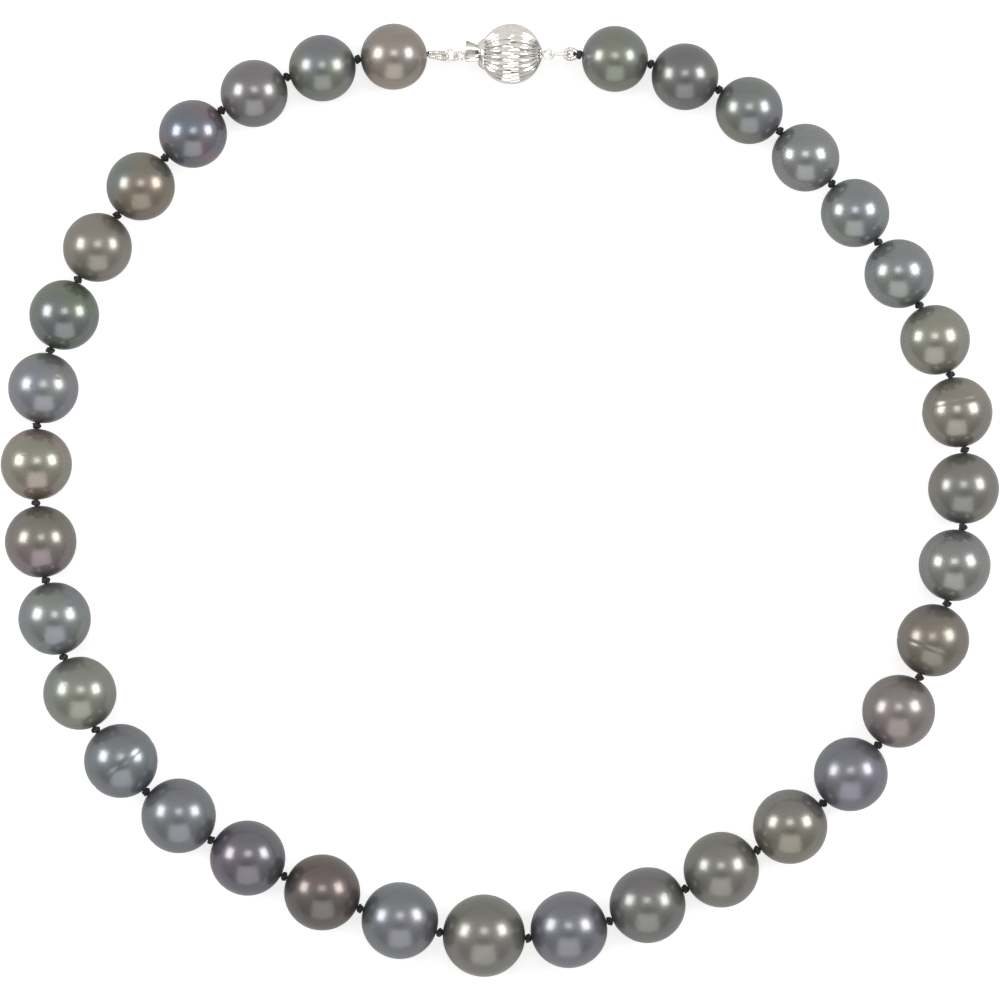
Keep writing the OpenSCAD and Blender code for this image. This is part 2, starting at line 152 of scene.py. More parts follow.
# %% [markdown]
# A tree gets named inputs for its sizes and ends in Realize Instances and Set Material. To use it, we hang
# it on a holder that carries the path or nothing at all, set the inputs by the sockets' identifiers,
# and turn the result into a plain mesh.

# %% Make a tree and grow a piece with it
SOCKETS = {float: "NodeSocketFloat", int: "NodeSocketInt"}


def start_tree(name, sizes):
    tree = bpy.data.node_groups.new(name, "GeometryNodeTree")
    tree.interface.new_socket("Geometry", in_out="INPUT", socket_type="NodeSocketGeometry")
    for label, value in sizes.items():
        socket = tree.interface.new_socket(label, in_out="INPUT", socket_type=SOCKETS[type(value)])
        socket.default_value = value
    tree.interface.new_socket("Finish", in_out="INPUT", socket_type="NodeSocketMaterial")
    tree.interface.new_socket("Geometry", in_out="OUTPUT", socket_type="NodeSocketGeometry")
    return tree, tree.nodes.new("NodeGroupInput").outputs


def end_tree(tree, inputs, geometry):
    smooth = add(tree, "GeometryNodeSetShadeSmooth", {0: geometry})
    real = add(tree, "GeometryNodeRealizeInstances", {0: smooth})
    done = add(tree, "GeometryNodeSetMaterial", {"Geometry": real, "Material": inputs["Finish"]})
    tree.links.new(done, tree.nodes.new("NodeGroupOutput").inputs[0])


def grow(tree, name, path=None, **sizes):
    mesh = bpy.data.meshes.new(name + "_path")
    if path:
        points, links = path
        mesh.from_pydata([tuple(p) for p in points], links, [])
    holder = bpy.data.objects.new(name + "_holder", mesh)
    bpy.context.scene.collection.objects.link(holder)
    modifier = holder.modifiers.new("grow", "NODES")
    modifier.node_group = tree
    for item in tree.interface.items_tree:
        label = item.name.replace(" ", "_").lower()
        if item.in_out == "INPUT" and label in sizes:
            modifier[item.identifier] = sizes[label]
    graph = bpy.context.evaluated_depsgraph_get()
    grown = bpy.data.meshes.new_from_object(holder.evaluated_get(graph), depsgraph=graph)
    bpy.data.objects.remove(holder)
    piece = bpy.data.objects.new(name, grown)
    bpy.context.scene.collection.objects.link(piece)
    return piece


print("trees can grow pieces")

# %% [markdown]
# Whatever a tree makes is checked once more: doubles are merged so that seams and poles are closed, and
# the faces are turned to point outwards. Edges sharper than the seam angle stay crisp. A piece can then
# be set in its place with a matrix.

# %% Close, turn outwards and place
SEAM_ANGLE = math.radians(38)


def close_up(piece, reach=0.002 * MM):
    work = bmesh.new()
    work.from_mesh(piece.data)
    bmesh.ops.remove_doubles(work, verts=work.verts, dist=reach)
    bmesh.ops.recalc_face_normals(work, faces=work.faces)
    open_edges = sum(not e.is_manifold for e in work.edges)
    work.to_mesh(piece.data)
    work.free()
    piece.data.set_sharp_from_angle(angle=SEAM_ANGLE)
    return open_edges


def frame_at(spot, along, roll=0.0):
    """A matrix that takes local X along the strand, at this spot, rolled about it."""
    x = Vector(along).normalized()
    y = Vector((0, 0, 1)).cross(x).normalized()
    turn = Matrix((x, y, x.cross(y))).transposed()
    return Matrix.Translation(spot) @ turn.to_4x4() @ Matrix.Rotation(roll, 4, "X")


print("pieces can be closed and placed")

# %% [markdown]
# ## The look of nacre
# Nacre is thousands of thin plates over a bead. It gives a satin gleam that takes the colour of the body,
# with patches of another hue, called overtones, that drift over the ball. Close up, the skin is
# very slightly uneven. One shader group holds these habits, and each material gives it its own two hues.
# A picture texture could hold this too, but noise in the piece's own space needs no map and never repeats.

# %% Nacre group
def start_group(name, inputs, outputs):
    group = bpy.data.node_groups.new(name, "ShaderNodeTree")
    for label, value in inputs.items():
        kind = "NodeSocketColor" if isinstance(value, tuple) else "NodeSocketFloat"
        socket = group.interface.new_socket(label, in_out="INPUT", socket_type=kind)
        socket.default_value = value
    for label, kind in outputs.items():
        group.interface.new_socket(label, in_out="OUTPUT", socket_type=kind)
    return group, group.nodes.new("NodeGroupInput").outputs, group.nodes.new("NodeGroupOutput").inputs


def noise(tree, spots, scale, detail=2.0, roughness=0.5):
    return add(tree, "ShaderNodeTexNoise", {"Vector": spots, "Scale": scale, "Detail": detail,
                                            "Roughness": roughness})


def blend_colours(tree, share, first, second):
    return add(tree, "ShaderNodeMix", {0: share, 6: first, 7: second}, out=2, data_type="RGBA")


SURFACE = {"Colour": "NodeSocketColor", "Roughness": "NodeSocketFloat", "Height": "NodeSocketFloat"}
nacre, given, results = start_group("nacre_skin", {
    "Body": (0.2, 0.2, 0.2, 1.0), "Overtone": (0.2, 0.2, 0.2, 1.0), "Patch Size": 7 * MM,
    "Gleam": 0.25, "Growth": 0.5}, SURFACE)
place = add(nacre, "ShaderNodeTexCoord", out=3)
patches = noise(nacre, place, calc(nacre, "DIVIDE", 1.0, given["Patch Size"]), 1.0)
share = add(nacre, "ShaderNodeMapRange", {"Value": patches, "From Min": 0.38, "From Max": 0.62})
hue = blend_colours(nacre, share, given["Body"], given["Overtone"])
plates = noise(nacre, place, 1 / (0.9 * MM), 4.0, 0.6)
cloud = add(nacre, "ShaderNodeMapRange", {"Value": plates, "To Min": 0.95, "To Max": 1.05})
nacre.links.new(scaled(nacre, hue, cloud), results["Colour"])
skin_grain = noise(nacre, place, 1 / (0.35 * MM), 3.0)
drift = calc(nacre, "MULTIPLY", calc(nacre, "SUBTRACT", skin_grain, 0.5), 0.05)
nacre.links.new(calc(nacre, "ADD", given["Gleam"], drift), results["Roughness"])
swell = calc(nacre, "MULTIPLY", noise(nacre, place, 1 / (1.6 * MM), 2.0), given["Growth"])
nacre.links.new(calc(nacre, "ADD", swell, calc(nacre, "MULTIPLY", skin_grain, 0.03)), results["Height"])
print(nacre.name, len(nacre.nodes), "nodes")

# %% [markdown]
# A material puts a group's answers into the Principled shader. Numbers that are the same all over the
# surface, such as how metallic it is or how much clear coat it has, are set on the shader itself.

# %% Put a group into a material
def dress(name, group, values, bump, bump_depth, **shader_values):
    material = bpy.data.materials.new(name)
    material.use_nodes = True
    tree = material.node_tree
    shader = tree.nodes["Principled BSDF"]
    node = tree.nodes.new("ShaderNodeGroup")
    node.node_tree = group
    for label, value in values.items():
        node.inputs[label].default_value = value
    tree.links.new(node.outputs["Colour"], shader.inputs["Base Color"])
    tree.links.new(node.outputs["Roughness"], shader.inputs["Roughness"])
    relief = add(tree, "ShaderNodeBump", {"Strength": bump, "Distance": bump_depth,
                                          "Height": node.outputs["Height"]})
    tree.links.new(relief, shader.inputs["Normal"])
    for label, value in shader_values.items():
        shader.inputs[label.replace("_", " ")].default_value = value
    return material


print("materials can be dressed")

# %% [markdown]
# Pearl graders name a colour by its body and its overtone. The palette below does the same, with a
# body hue and the hue that drifts over it. The list after it says which one each pearl has, from the
# tongue's side of the clasp round to the other side.

# %% Palette of overtones
OVERTONES = {
    "warm_taupe": ((0.40, 0.345, 0.29), (0.33, 0.30, 0.28)),
    "moss": ((0.26, 0.275, 0.225), (0.24, 0.25, 0.27)),
    "iron": ((0.27, 0.27, 0.262), (0.25, 0.24, 0.25)),
    "dusk": ((0.20, 0.225, 0.265), (0.29, 0.215, 0.235)),
    "bracken": ((0.285, 0.245, 0.195), (0.22, 0.25, 0.235)),
    "sand": ((0.325, 0.305, 0.26), (0.28, 0.26, 0.235)),
    "forest": ((0.215, 0.25, 0.20), (0.22, 0.225, 0.235)),
    "frost": ((0.30, 0.31, 0.295), (0.28, 0.29, 0.33)),
    "blush": ((0.39, 0.32, 0.28), (0.32, 0.32, 0.26)),
    "peacock": ((0.235, 0.245, 0.19), (0.29, 0.235, 0.25)),
    "silver_green": ((0.285, 0.315, 0.29), (0.27, 0.28, 0.31)),
    "champagne": ((0.33, 0.325, 0.275), (0.28, 0.30, 0.27)),
    "slate": ((0.235, 0.26, 0.275), (0.24, 0.245, 0.27)),
    "midnight": ((0.185, 0.195, 0.21), (0.20, 0.18, 0.215)),
    "aubergine": ((0.185, 0.148, 0.138), (0.165, 0.155, 0.15)),
    "umber": ((0.27, 0.255, 0.24), (0.235, 0.24, 0.21)),
    "lilac": ((0.25, 0.24, 0.285), (0.22, 0.235, 0.26)),
    "graphite": ((0.215, 0.21, 0.215), (0.23, 0.23, 0.22)),
    "olive": ((0.275, 0.26, 0.22), (0.245, 0.245, 0.235)),
    "rose": ((0.30, 0.26, 0.25), (0.26, 0.25, 0.25)),
    "bronze": ((0.255, 0.228, 0.193), (0.24, 0.23, 0.22)),
    "pewter": ((0.295, 0.30, 0.28), (0.29, 0.29, 0.30)),
    "lavender": ((0.31, 0.295, 0.31), (0.29, 0.31, 0.30)),
}
STRAND = (
    "warm_taupe moss iron dusk bracken sand forest frost blush peacock silver_green champagne slate slate "
    "midnight aubergine slate umber lilac graphite umber olive lilac rose bronze pewter olive sand "
    "champagne silver_green silver_green lavender moss graphite moss"
).split()
print(len(OVERTONES), "overtones for", len(STRAND), "pearls")

# %% [markdown]
# Each pearl gets a material of its own, as no two in a strand match fully. A fixed seed per pearl picks how
# wide its patches are and how well it shines, and one factor sets how deep all the hues are.

# %% Nacre materials
NACRE_DEPTH = 0.78


def nacre_material(tone, number):
    body, over = OVERTONES[tone]
    deep = [tuple(c * NACRE_DEPTH for c in hue) + (1.0,) for hue in (body, over)]
    picker = random.Random(number)
    return dress(f"nacre_{tone}_{number:02d}", nacre, {
        "Body": deep[0], "Overtone": deep[1], "Patch Size": picker.uniform(6, 10) * MM,
        "Gleam": picker.uniform(0.26, 0.31), "Growth": picker.uniform(0.3, 0.7)},
        0.12, 0.03 * MM, Metallic=0.75, Coat_Weight=0.22, Coat_Roughness=0.14, Coat_IOR=1.5)


nacre_looks = [nacre_material(tone, k) for k, tone in enumerate(STRAND, 1)]
print(len(nacre_looks), "nacre materials")

# %% [markdown]
# ## Growing a pearl
# A plain sphere would look like a ball bearing. A pearl is a little off round, has pits with raised
# rims, and some carry a groove that runs right round the bore. The tree rolls a flat grid into a ball
# with its drilled hole, which makes one closed skin: most of the grid is the outside, and the last
# strip is the wall of the bore. Noise, pits and grooves then move the skin in and out.

# %% Roll a grid into a drilled ball
pearl_tree, size = start_tree("pearl", {
    "Radius": 5.5 * MM, "Bore": 0.5 * MM, "Off Round": 0.02, "Pit Count": 3, "Pit Size": 0.2 * MM,
    "Pit Depth": 0.03 * MM, "Groove Height": 0.3, "Groove Depth": 0.0, "Seed": 1})
AROUND, ALONG, SKIN = 97, 81, 0.94
sheet = add(pearl_tree, "GeometryNodeMeshGrid", {"Vertices X": AROUND, "Vertices Y": ALONG})
flat = split(pearl_tree, add(pearl_tree, "GeometryNodeInputPosition"))
round_angle = calc(pearl_tree, "MULTIPLY", flat[0], 2 * math.pi)
down = calc(pearl_tree, "ADD", flat[1], 0.5)
bore_angle = calc(pearl_tree, "ARCSINE", calc(pearl_tree, "DIVIDE", size["Bore"], size["Radius"]))
polar = add(pearl_tree, "ShaderNodeMapRange", {
    "Value": down, "From Max": SKIN, "To Min": bore_angle,
    "To Max": calc(pearl_tree, "SUBTRACT", math.pi, bore_angle)})
out_r = calc(pearl_tree, "MULTIPLY", size["Radius"], calc(pearl_tree, "SINE", polar))
back_up = add(pearl_tree, "ShaderNodeMapRange", {"Value": down, "From Min": SKIN})
bore_length = calc(pearl_tree, "MULTIPLY", calc(pearl_tree, "MULTIPLY", size["Radius"], 2.0),
                   calc(pearl_tree, "COSINE", bore_angle))
height = calc(pearl_tree, "ADD",
              calc(pearl_tree, "MULTIPLY", size["Radius"], calc(pearl_tree, "COSINE", polar)),
              calc(pearl_tree, "MULTIPLY", back_up, bore_length))
rolled = add(pearl_tree, "ShaderNodeCombineXYZ", {
    0: height,
    1: calc(pearl_tree, "MULTIPLY", out_r, calc(pearl_tree, "COSINE", round_angle)),
    2: calc(pearl_tree, "MULTIPLY", out_r, calc(pearl_tree, "SINE", round_angle))})
ball = add(pearl_tree, "GeometryNodeSetPosition", {"Geometry": sheet, "Position": rolled})
ball = add(pearl_tree, "GeometryNodeMergeByDistance", {"Geometry": ball, "Distance": 0.001 * MM})
print("pearl skin:", (AROUND - 1) * (ALONG - 1), "faces")

# %% [markdown]
# Pits are scattered by a fixed seed. Each dents the skin with a soft hump turned inwards, and a wider,
# lower hump turned outwards leaves the rim. The groove is the same hump, measured along the bore, with its
# width as a share of the pearl's radius.

# %% Off-round, pits and groove
GROOVE_WIDTH = 0.05
here = add(pearl_tree, "GeometryNodeInputPosition")
outwards = vector_calc(pearl_tree, "NORMALIZE", here)
scatter = add(pearl_tree, "FunctionNodeRandomValue", {
    0: (-1.0, -1.0, -1.0), 1: (1.0, 1.0, 1.0), "Seed": size["Seed"]}, data_type="FLOAT_VECTOR")
pit_spots = add(pearl_tree, "GeometryNodePoints", {
    "Count": size["Pit Count"],
    "Position": scaled(pearl_tree, vector_calc(pearl_tree, "NORMALIZE", scatter), size["Radius"])})
near_pit = add(pearl_tree, "GeometryNodeProximity", {0: pit_spots}, out=1, target_element="POINTS")
dent = bell(pearl_tree, near_pit, size["Pit Size"])
rim_gap = calc(pearl_tree, "SUBTRACT", near_pit, calc(pearl_tree, "MULTIPLY", size["Pit Size"], 1.9))
rim = bell(pearl_tree, rim_gap, calc(pearl_tree, "MULTIPLY", size["Pit Size"], 0.7))
pits = calc(pearl_tree, "MULTIPLY", size["Pit Depth"],
            calc(pearl_tree, "SUBTRACT", calc(pearl_tree, "MULTIPLY", rim, 0.4), dent))
from_groove = calc(pearl_tree, "SUBTRACT", split(pearl_tree, outwards)[0], size["Groove Height"])
groove = calc(pearl_tree, "MULTIPLY", size["Groove Depth"], bell(pearl_tree, from_groove, GROOVE_WIDTH))
lumps = add(pearl_tree, "ShaderNodeTexNoise", {
    "Vector": outwards, "W": size["Seed"], "Scale": 0.9, "Detail": 1.0}, noise_dimensions="4D")
swell = calc(pearl_tree, "MULTIPLY", calc(pearl_tree, "SUBTRACT", lumps, 0.62),
             calc(pearl_tree, "MULTIPLY", size["Off Round"], size["Radius"]))
move = calc(pearl_tree, "SUBTRACT", calc(pearl_tree, "ADD", swell, pits), groove)
shaped = add(pearl_tree, "GeometryNodeSetPosition", {
    "Geometry": ball, "Offset": scaled(pearl_tree, outwards, move)})
end_tree(pearl_tree, size, shaped)
print("pearl tree:", len(pearl_tree.nodes), "nodes")

# %% [markdown]
# Most pearls of this strand are clean, a few are pitted and a few are ringed. Those get their own
# numbers here, and all others share the plain ones. The seed scatters the pits, so a pearl has about
# as many as it should, but not each at its own place.

# %% Marks that single pearls carry
PLAIN = {"pit_count": 3, "pit_size": 0.16 * MM, "pit_depth": 0.015 * MM, "groove_depth": 0.0}
MARKS = {
    5: {"pit_count": 14, "pit_size": 0.24 * MM, "pit_depth": 0.05 * MM},
    8: {"pit_count": 22, "pit_size": 0.26 * MM, "pit_depth": 0.06 * MM},
    9: {"pit_count": 16, "pit_size": 0.22 * MM, "pit_depth": 0.04 * MM},
    11: {"pit_count": 16, "pit_size": 0.34 * MM, "pit_depth": 0.07 * MM},
    12: {"pit_count": 22, "pit_size": 0.22 * MM, "pit_depth": 0.05 * MM},
    13: {"groove_depth": 0.06 * MM, "groove_height": 0.1},
    17: {"pit_count": 30, "pit_size": 0.2 * MM, "pit_depth": 0.02 * MM},
    20: {"pit_count": 34, "pit_size": 0.24 * MM, "pit_depth": 0.04 * MM},
    25: {"groove_depth": 0.07 * MM, "groove_height": -0.25},
    28: {"groove_depth": 0.05 * MM, "groove_height": 0.3},
    33: {"pit_count": 20, "pit_size": 0.26 * MM, "pit_depth": 0.05 * MM},
}
print(len(MARKS), "pearls are pitted or ringed")

# %% [markdown]
# Now each pearl grows at the radius that the frame gives it. It is rolled about its bore by an angle of
# its own, so that neighbours never show their patches and pits the same way round. The bore is as wide as
# half the gap between two pearls.

# %% Grow the 35 pearls
ROLL_STEP, OFF_ROUND = 1.7, 0.03
pearls = []
open_total = 0
for number, (node, (spot, radius)) in enumerate(zip(pearl_names, pearl_spots), 1):
    marks = {**PLAIN, **MARKS.get(number, {})}
    pearl = grow(pearl_tree, f"nacre_{number:02d}", radius=radius, bore=half_gap,
                 off_round=OFF_ROUND, seed=number, finish=nacre_looks[number - 1], **marks)
    pearl.data.transform(frame_at(spot, bore_of(number), roll=number * ROLL_STEP))
    open_total += close_up(pearl)
    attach(pearl, body_with[node])
    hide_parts(node)
    pearls.append(pearl)
print(len(pearls), "pearls,", len(pearls[0].data.polygons), "faces each,", open_total, "open edges")

# %% [markdown]
# ## Twisted silk
# Bead silk is two or three plies laid round each other. A round tube would look like wire, so the
# profile that is swept along the path has two lobes and turns as it goes. The same tree makes the
# knots, the short ends that enter the bores, and the strands inside the wire loops.

# %% Silk tree
silk_tree, size = start_tree("twisted_silk", {
    "Thread": 0.26 * MM, "Lobes": 0.16, "Half Turns": 6, "Steps": 90, "Sides": 12})
line = add(silk_tree, "GeometryNodeMeshToCurve", {0: silk_tree.nodes["Group Input"].outputs[0]})
line = add(silk_tree, "GeometryNodeResampleCurve", {"Curve": line, "Count": size["Steps"]})
share = calc(silk_tree, "DIVIDE", add(silk_tree, "GeometryNodeInputIndex"), size["Steps"])
turn = calc(silk_tree, "MULTIPLY", share, calc(silk_tree, "MULTIPLY", size["Half Turns"], math.pi))
line = add(silk_tree, "GeometryNodeSetCurveTilt", {"Curve": line, "Tilt": turn})
ring = add(silk_tree, "GeometryNodeCurvePrimitiveCircle", {
    "Resolution": size["Sides"], "Radius": size["Thread"]})
at = add(silk_tree, "GeometryNodeInputPosition")
x_share = calc(silk_tree, "DIVIDE", split(silk_tree, at)[0], size["Thread"])
x_squared = calc(silk_tree, "MULTIPLY", x_share, x_share)
lobe = calc(silk_tree, "SUBTRACT", calc(silk_tree, "MULTIPLY", x_squared, 2.0), 1.0)
lobed = add(silk_tree, "GeometryNodeSetPosition", {
    "Geometry": ring, "Offset": scaled(silk_tree, at, calc(silk_tree, "MULTIPLY", lobe, size["Lobes"]))})
swept = add(silk_tree, "GeometryNodeCurveToMesh", {"Curve": line, "Profile Curve": lobed, "Fill Caps": True})
end_tree(silk_tree, size, swept)
print("silk tree:", len(silk_tree.nodes), "nodes")

# %% [markdown]
# Silk drinks light, but its filaments catch a thin grey sheen. The shader's own sheen gives part of it, and
# the group
# paints the rest into the colour: fine filaments are laid over the thread as stretched noise, given a lighter
# grey as a painted highlight, and a little height.

# %% Silk group and material
silk_fibre, given, results = start_group("silk_fibre", {
    "Dye": (0.012, 0.012, 0.014, 1.0), "Painted Sheen Fibre": (0.05, 0.05, 0.055, 1.0), "Filament": 0.05 * MM}, SURFACE)
place = add(silk_fibre, "ShaderNodeTexCoord", out=3)
fibres = noise(silk_fibre, place, calc(silk_fibre, "DIVIDE", 1.0, given["Filament"]), 3.0, 0.7)
# painted sheen: where the fibre noise runs high the colour turns to the lighter grey, a painted highlight and
# not a dye
painted_sheen = add(silk_fibre, "ShaderNodeMapRange", {"Value": fibres, "From Min": 0.5, "From Max": 0.75})
silk_fibre.links.new(blend_colours(silk_fibre, painted_sheen, given["Dye"], given["Painted Sheen Fibre"]), results["Colour"])
silk_fibre.links.new(add(silk_fibre, "ShaderNodeMapRange", {"Value": fibres, "To Min": 0.5, "To Max": 0.75}),
                     results["Roughness"])
silk_fibre.links.new(fibres, results["Height"])
black_silk = dress("black_silk", silk_fibre, {}, 0.5, 0.03 * MM, Sheen_Weight=0.25, Sheen_Roughness=0.4)
print(black_silk.name)

# %% [markdown]
# ## The knots
# Every gap holds one overhand knot, which keeps the pearls from rubbing and saves the rest if the
# silk breaks. Drawn tight, it is a small three-lobed bundle round the thread. We lay its line as a
# trefoil round the strand, with the straight thread through it into both bores.

# %% Lay a knot's line
def knot_path(number, width, length, thread, reach):
    picker = random.Random(number)
    out, swing, start = width / 2 - thread, length / 2 - thread, picker.uniform(0, 2 * math.pi)
    points, links = [], []
    steps = 48
    for k in range(steps):
        t = 2 * math.pi * k / steps
        y, z = (math.sin(t) + 2 * math.sin(2 * t)) / 3, (math.cos(t) - 2 * math.cos(2 * t)) / 3
        points.append(Vector((-swing * math.sin(3 * t),
                              out * (y * math.cos(start) - z * math.sin(start)),
                              out * (y * math.sin(start) + z * math.cos(start)))))
        links.append((k, (k + 1) % steps))
    for k in range(9):
        points.append(Vector((reach * (k / 4 - 1), 0, 0)))
        if k:
            links.append((steps + k - 1, steps + k))
    return points, links


KNOT_WIDTH, THREAD = 1.62 * MM, 0.27 * MM
INTO_BORE, INTO_LOOP = 1.2 * MM, 0.5 * MM
print("knot", KNOT_WIDTH / MM, "mm wide of", 2 * THREAD / MM, "mm thread")

# %% Tie the knots between the pearls
knots = []
for name, joint in sorted(knot_joints.items()):
    number = int(name[-2:])
    ahead = (pearl_spots[number][0] - pearl_spots[number - 1][0]).normalized()
    laid = knot_path(number, KNOT_WIDTH, 2 * half_gap, THREAD, half_gap + INTO_BORE)
    knot = grow(silk_tree, f"silk_{name}", laid, thread=THREAD, lobes=0.14, half_turns=8, finish=black_silk)
    knot.data.transform(frame_at(knot_spots[name], ahead))
    close_up(knot)
    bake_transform(knot)
    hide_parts("silk_thread")
    knots.append(knot)
print(len(knots), "knots,", len(knots[0].data.polygons), "faces each")

# %% [markdown]
# ## The loops at both ends
# At each end the silk turns back through a ring, and a coil of fine wire, called gimp or French wire,
# guards it there. The frame's loops are plain tubes. Their own points tell where each one lies: the
# longest way of the cloud of points is the loop's length, and the thinnest is the wire's thickness.

# %% Measure a part by its three ways
def ways_of(node):
    """Middle of the part's own box, its three ways (long, wide, thin) and their lengths."""
    cloud = np.array([v.co for v in frame["nodes"][node].data.vertices])
    spread = np.linalg.svd(cloud - cloud.mean(0), full_matrices=False)[2]
    spans = cloud @ spread.T
    low, high = spans.min(0), spans.max(0)
    return Vector(((low + high) / 2) @ spread), [Vector(w) for w in spread], high - low


def loop_frame(node, pearl_spot):
    """Local X from the loop's feet to its tip, local Y across it; returns length, radius and wire too."""
    centre, (long, wide, thin), (length, width, thick) = ways_of(node)
    away = centre - pearl_spot
    if abs(wide.dot(away)) > abs(long.dot(away)):
        long, wide, length, width = wide, long, width, length
    long *= 1 if long.dot(away) > 0 else -1
    feet = centre - long * length / 2
    turn = Matrix((long, wide, long.cross(wide))).transposed().to_4x4()
    return Matrix.Translation(feet) @ turn, length, (width - thick) / 2, thick


def loop_path(length, radius, foot, tuck=0.0):
    """From one foot out along a leg, round the tip and back, with both ends tucked in to the axis."""
    tip = length - radius
    lean = math.asin(radius / math.hypot(tip, foot)) - math.atan2(foot, tip)
    points = [Vector((0, foot, 0))]
    for k in range(25):
        a = (math.pi / 2 + lean) * (1 - k / 12)
        points.append(Vector((tip + radius * math.cos(a), radius * math.sin(a), 0)))
    points.append(Vector((0, -foot, 0)))
    if tuck:
        points = [Vector((-tuck, foot * 0.3, 0))] + points + [Vector((-tuck, -foot * 0.3, 0))]
    return points, [(k, k + 1) for k in range(len(points) - 1)]


print("loops:", [round(s / MM, 2) for s in ways_of("gimp_loop_left")[2]], "mm")

# %% [markdown]
# Gimp is a coil. The tree walks along the loop, steps off it by the coil's radius and turns all the
# while, which draws a helix that follows any path. A fine round wire is then swept along it.

# %% Coil tree
coil_tree, size = start_tree("wire_coil", {
    "Coil": 0.27 * MM, "Wire": 0.075 * MM, "Windings": 48, "Steps": 12})
line = add(coil_tree, "GeometryNodeMeshToCurve", {0: coil_tree.nodes["Group Input"].outputs[0]})
count = calc(coil_tree, "MULTIPLY", size["Windings"], size["Steps"])
line = add(coil_tree, "GeometryNodeResampleCurve", {"Curve": line, "Count": count})
normal = add(coil_tree, "GeometryNodeInputNormal")
other = vector_calc(coil_tree, "CROSS_PRODUCT", add(coil_tree, "GeometryNodeInputTangent"), normal)
turned = calc(coil_tree, "MULTIPLY", add(coil_tree, "GeometryNodeInputIndex"), 2 * math.pi)
angle = calc(coil_tree, "DIVIDE", turned, size["Steps"])
off = vector_calc(coil_tree, "ADD", scaled(coil_tree, normal, calc(coil_tree, "COSINE", angle)),
                  scaled(coil_tree, other, calc(coil_tree, "SINE", angle)))
wound = add(coil_tree, "GeometryNodeSetPosition", {
    "Geometry": line, "Offset": scaled(coil_tree, off, size["Coil"])})
wire = add(coil_tree, "GeometryNodeCurvePrimitiveCircle", {"Resolution": 6, "Radius": size["Wire"]})
swept = add(coil_tree, "GeometryNodeCurveToMesh", {"Curve": wound, "Profile Curve": wire, "Fill Caps": True})
end_tree(coil_tree, size, swept)
print("coil tree:", len(coil_tree.nodes), "nodes")

# %% [markdown]
# ## Polished white metal
# White gold is almost colourless, with a warm grey where it is not freshly polished. What we see of
# it is mostly the room. One group gives the metal its two hues and its faint polishing marks, and the
# ball, the rings and the coil each take it with their own numbers.

# %% Metal group and its finishes
polish, given, results = start_group("polished_metal", {
    "Bright": (0.92, 0.90, 0.87, 1.0), "Dull": (0.80, 0.75, 0.69, 1.0), "Mark Size": 0.8 * MM,
    "Gloss": 0.08, "Haze": 0.12}, SURFACE)
place = add(polish, "ShaderNodeTexCoord", out=3)
marks = noise(polish, place, calc(polish, "DIVIDE", 1.0, given["Mark Size"]), 4.0, 0.65)
worn = add(polish, "ShaderNodeMapRange", {"Value": marks, "From Min": 0.45, "From Max": 0.7})
polish.links.new(blend_colours(polish, worn, given["Bright"], given["Dull"]), results["Colour"])
haze = calc(polish, "MULTIPLY", worn, given["Haze"])
polish.links.new(calc(polish, "ADD", given["Gloss"], haze), results["Roughness"])
polish.links.new(noise(polish, place, 1 / (0.12 * MM), 3.0, 0.6), results["Height"])
fluted_gold = dress("fluted_white_gold", polish, {"Gloss": 0.07, "Haze": 0.08},
                    0.1, 0.006 * MM, Metallic=1.0)
plain_gold = dress("plain_white_gold", polish, {"Gloss": 0.12, "Haze": 0.15}, 0.2, 0.006 * MM, Metallic=1.0)
coil_metal = dress("coiled_wire_metal", polish, {
    "Bright": (0.90, 0.89, 0.84, 1.0), "Gloss": 0.14, "Haze": 0.2, "Mark Size": 0.4 * MM},
    0.2, 0.005 * MM, Metallic=1.0)
print("three metal finishes")

# %% [markdown]
# Each loop is made twice along one path: the coil of wire, and the silk inside it, whose two feet are
# tucked in to the bore or the end knot. The windings lie a little more than one wire apart, as drawn gimp
# does. Both ride with the end pearl, because a loop this short hardly bends.

# %% Wind both wire loops
WIRE = 0.08 * MM
WINDING_PITCH = 2.15 * WIRE
for side, number, node in (("left", 1, "gimp_loop_left"), ("right", 35, "gimp_loop_right")):
    spot, radius = pearl_spots[number - 1]
    body = body_with[node]
    lay, length, turn_radius, thick = loop_frame(node, spot)
    mid_length = length - thick / 2
    foot = thick / 2
    walk = 2 * mid_length + math.pi * turn_radius
    windings = int(walk / WINDING_PITCH)
    coil = grow(coil_tree, f"wire_loop_{side}", loop_path(mid_length, turn_radius, foot),
                coil=thick / 2 - WIRE, wire=WIRE, windings=windings, steps=12, finish=coil_metal)
    coil.data.transform(lay)
    close_up(coil)
    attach(coil, body)
    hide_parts(node)
    tuck = (lay.translation - spot).length - radius + 0.6 * MM
    strand = grow(silk_tree, f"silk_loop_{side}", loop_path(mid_length, turn_radius, foot, tuck),
                  thread=0.15 * MM, lobes=0.14, half_turns=30, steps=160, sides=10, finish=black_silk)
    strand.data.transform(lay)
    close_up(strand)
    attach(strand, body)
    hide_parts("silk_thread")
    print(coil.name, windings, "windings,", len(coil.data.polygons), "faces")

# %% [markdown]
# The last knot sits between the right end pearl and its loop, with no joint of its own. It rides on
# the end pearl's body, a little under half a gap beyond the pearl's skin.

